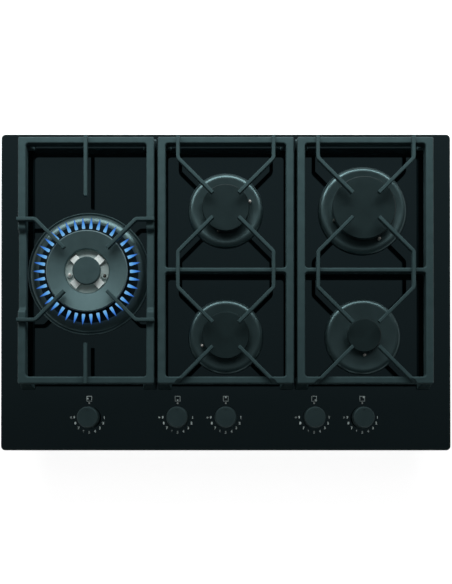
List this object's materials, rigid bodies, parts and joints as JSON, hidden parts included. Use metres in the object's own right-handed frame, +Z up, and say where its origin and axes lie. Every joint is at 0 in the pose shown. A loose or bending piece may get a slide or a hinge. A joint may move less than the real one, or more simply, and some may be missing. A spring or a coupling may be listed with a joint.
{
  "type": "gas hob",
  "caption": "Built-in gas hob: black glass panel with wok, rapid, medium and small burners, cast pan supports and front knobs.",
  "frame": {"origin": "on the worktop's top face, which the seal's underside lies on, at the middle of the glass panel", "axes": "+X to the right of someone who stands in front, +Y to the back, +Z up"},
  "size_m": [0.71, 0.5, 0.116],
  "materials": {
    "black_glass": "black toughened glass, polished",
    "foam": "closed-cell foam, pressed",
    "zinc_steel": "galvanised sheet steel",
    "pipe_steel": "zinc-plated steel pipe",
    "bright_steel": "bright plated steel",
    "brass": "turned brass",
    "tube_aluminium": "drawn tube, bare",
    "cast_aluminium": "die cast, as cast",
    "head_aluminium": "die cast, machined, heat-dulled",
    "switch_plastic": "moulded, matt",
    "pale_plastic": "moulded, matt",
    "silicone": "silicone rubber",
    "spark_ceramic": "glazed ceramic",
    "probe_steel": "stainless steel, heat-tinted",
    "ring_enamel": "enamelled steel, satin",
    "cap_enamel": "vitreous enamel, satin black",
    "grate_enamel": "cast iron, matt enamel",
    "pad_rubber": "silicone rubber",
    "knob_plastic": "moulded, satin black"
  },
  "bodies": {
    "hob": {"glass_panel": "black_glass", "worktop_seal": "foam", "bottom_tray": "zinc_steel", "burner_deck": "zinc_steel", "gas_rail": "pipe_steel", "inlet_elbow": "brass", "inlet_locknut": "brass", "gas_tubes": "tube_aluminium", "gas_jets": "brass", "gas_valves": "cast_aluminium", "ignition_switches": "switch_plastic", "spark_generator": "pale_plastic", "terminal_block": "pale_plastic", "worktop_clamps": "zinc_steel", "screws": "bright_steel", "knob_gaskets": "silicone", "spark_plugs": "spark_ceramic", "flame_probes": "probe_steel", "wok_trim_ring": "ring_enamel", "back_middle_trim_ring": "ring_enamel", "front_middle_trim_ring": "ring_enamel", "back_right_trim_ring": "ring_enamel", "front_right_trim_ring": "ring_enamel", "wok_burner_cup": "cast_aluminium", "back_middle_burner_cup": "cast_aluminium", "front_middle_burner_cup": "cast_aluminium", "back_right_burner_cup": "cast_aluminium", "front_right_burner_cup": "cast_aluminium"},
    "plug_wok": {"plug_wok": "brass"},
    "knob_wok": {"knob_wok": "knob_plastic", "stem_wok": "bright_steel"},
    "plug_front_middle": {"plug_front_middle": "brass"},
    "knob_front_middle": {"knob_front_middle": "knob_plastic", "stem_front_middle": "bright_steel"},
    "plug_back_middle": {"plug_back_middle": "brass"},
    "knob_back_middle": {"knob_back_middle": "knob_plastic", "stem_back_middle": "bright_steel"},
    "plug_front_right": {"plug_front_right": "brass"},
    "knob_front_right": {"knob_front_right": "knob_plastic", "stem_front_right": "bright_steel"},
    "plug_back_right": {"plug_back_right": "brass"},
    "knob_back_right": {"knob_back_right": "knob_plastic", "stem_back_right": "bright_steel"},
    "wok_head": {"wok_burner_head": "head_aluminium"},
    "wok_outer_cap": {"wok_outer_cap": "cap_enamel"},
    "wok_core_cap": {"wok_core_cap": "cap_enamel"},
    "back_middle_head": {"back_middle_burner_head": "head_aluminium"},
    "back_middle_cap": {"back_middle_burner_cap": "cap_enamel"},
    "front_middle_head": {"front_middle_burner_head": "head_aluminium"},
    "front_middle_cap": {"front_middle_burner_cap": "cap_enamel"},
    "back_right_head": {"back_right_burner_head": "head_aluminium"},
    "back_right_cap": {"back_right_burner_cap": "cap_enamel"},
    "front_right_head": {"front_right_burner_head": "head_aluminium"},
    "front_right_cap": {"front_right_burner_cap": "cap_enamel"},
    "left_grate": {"left_grate": "grate_enamel", "left_grate_pads": "pad_rubber"},
    "middle_grate": {"middle_grate": "grate_enamel", "middle_grate_pads": "pad_rubber"},
    "right_grate": {"right_grate": "grate_enamel", "right_grate_pads": "pad_rubber"}
  },
  "joints": [
    {"name": "turn_wok", "type": "hinge", "parent": "hob", "child": "plug_wok", "pos_m": [-0.2155, -0.198, 0], "axis": [0, 0, 1], "range_deg": [0, 270]},
    {"name": "push_wok", "type": "slide", "parent": "plug_wok", "child": "knob_wok", "axis": [0, 0, -1], "range_m": [0, 0.004], "stiffness_N_per_m": 1500, "springref_m": -0.004},
    {"name": "turn_front_middle", "type": "hinge", "parent": "hob", "child": "plug_front_middle", "pos_m": [-0.076, -0.198, 0], "axis": [0, 0, 1], "range_deg": [0, 270]},
    {"name": "push_front_middle", "type": "slide", "parent": "plug_front_middle", "child": "knob_front_middle", "axis": [0, 0, -1], "range_m": [0, 0.004], "stiffness_N_per_m": 1500, "springref_m": -0.004},
    {"name": "turn_back_middle", "type": "hinge", "parent": "hob", "child": "plug_back_middle", "pos_m": [0, -0.198, 0], "axis": [0, 0, 1], "range_deg": [0, 270]},
    {"name": "push_back_middle", "type": "slide", "parent": "plug_back_middle", "child": "knob_back_middle", "axis": [0, 0, -1], "range_m": [0, 0.004], "stiffness_N_per_m": 1500, "springref_m": -0.004},
    {"name": "turn_front_right", "type": "hinge", "parent": "hob", "child": "plug_front_right", "pos_m": [0.1395, -0.198, 0], "axis": [0, 0, 1], "range_deg": [0, 270]},
    {"name": "push_front_right", "type": "slide", "parent": "plug_front_right", "child": "knob_front_right", "axis": [0, 0, -1], "range_m": [0, 0.004], "stiffness_N_per_m": 1500, "springref_m": -0.004},
    {"name": "turn_back_right", "type": "hinge", "parent": "hob", "child": "plug_back_right", "pos_m": [0.2155, -0.198, 0], "axis": [0, 0, 1], "range_deg": [0, 270]},
    {"name": "push_back_right", "type": "slide", "parent": "plug_back_right", "child": "knob_back_right", "axis": [0, 0, -1], "range_m": [0, 0.004], "stiffness_N_per_m": 1500, "springref_m": -0.004},
    {"name": "lift_wok_head", "type": "slide", "parent": "hob", "child": "wok_head", "axis": [0, 0, 1], "range_m": [0, 0.005]},
    {"name": "lift_wok_outer_cap", "type": "slide", "parent": "wok_head", "child": "wok_outer_cap", "axis": [0, 0, 1], "range_m": [0, 0.004]},
    {"name": "lift_wok_core_cap", "type": "slide", "parent": "wok_head", "child": "wok_core_cap", "axis": [0, 0, 1], "range_m": [0, 0.004]},
    {"name": "lift_back_middle_head", "type": "slide", "parent": "hob", "child": "back_middle_head", "axis": [0, 0, 1], "range_m": [0, 0.008]},
    {"name": "lift_back_middle_cap", "type": "slide", "parent": "back_middle_head", "child": "back_middle_cap", "axis": [0, 0, 1], "range_m": [0, 0.004]},
    {"name": "lift_front_middle_head", "type": "slide", "parent": "hob", "child": "front_middle_head", "axis": [0, 0, 1], "range_m": [0, 0.008]},
    {"name": "lift_front_middle_cap", "type": "slide", "parent": "front_middle_head", "child": "front_middle_cap", "axis": [0, 0, 1], "range_m": [0, 0.004]},
    {"name": "lift_back_right_head", "type": "slide", "parent": "hob", "child": "back_right_head", "axis": [0, 0, 1], "range_m": [0, 0.008]},
    {"name": "lift_back_right_cap", "type": "slide", "parent": "back_right_head", "child": "back_right_cap", "axis": [0, 0, 1], "range_m": [0, 0.004]},
    {"name": "lift_front_right_head", "type": "slide", "parent": "hob", "child": "front_right_head", "axis": [0, 0, 1], "range_m": [0, 0.008]},
    {"name": "lift_front_right_cap", "type": "slide", "parent": "front_right_head", "child": "front_right_cap", "axis": [0, 0, 1], "range_m": [0, 0.004]},
    {"name": "lift_left_grate", "type": "slide", "parent": "hob", "child": "left_grate", "axis": [0, 0, 1], "range_m": [0, 0.08]},
    {"name": "lift_middle_grate", "type": "slide", "parent": "hob", "child": "middle_grate", "axis": [0, 0, 1], "range_m": [0, 0.08]},
    {"name": "lift_right_grate", "type": "slide", "parent": "hob", "child": "right_grate", "axis": [0, 0, 1], "range_m": [0, 0.08]}
  ]
}
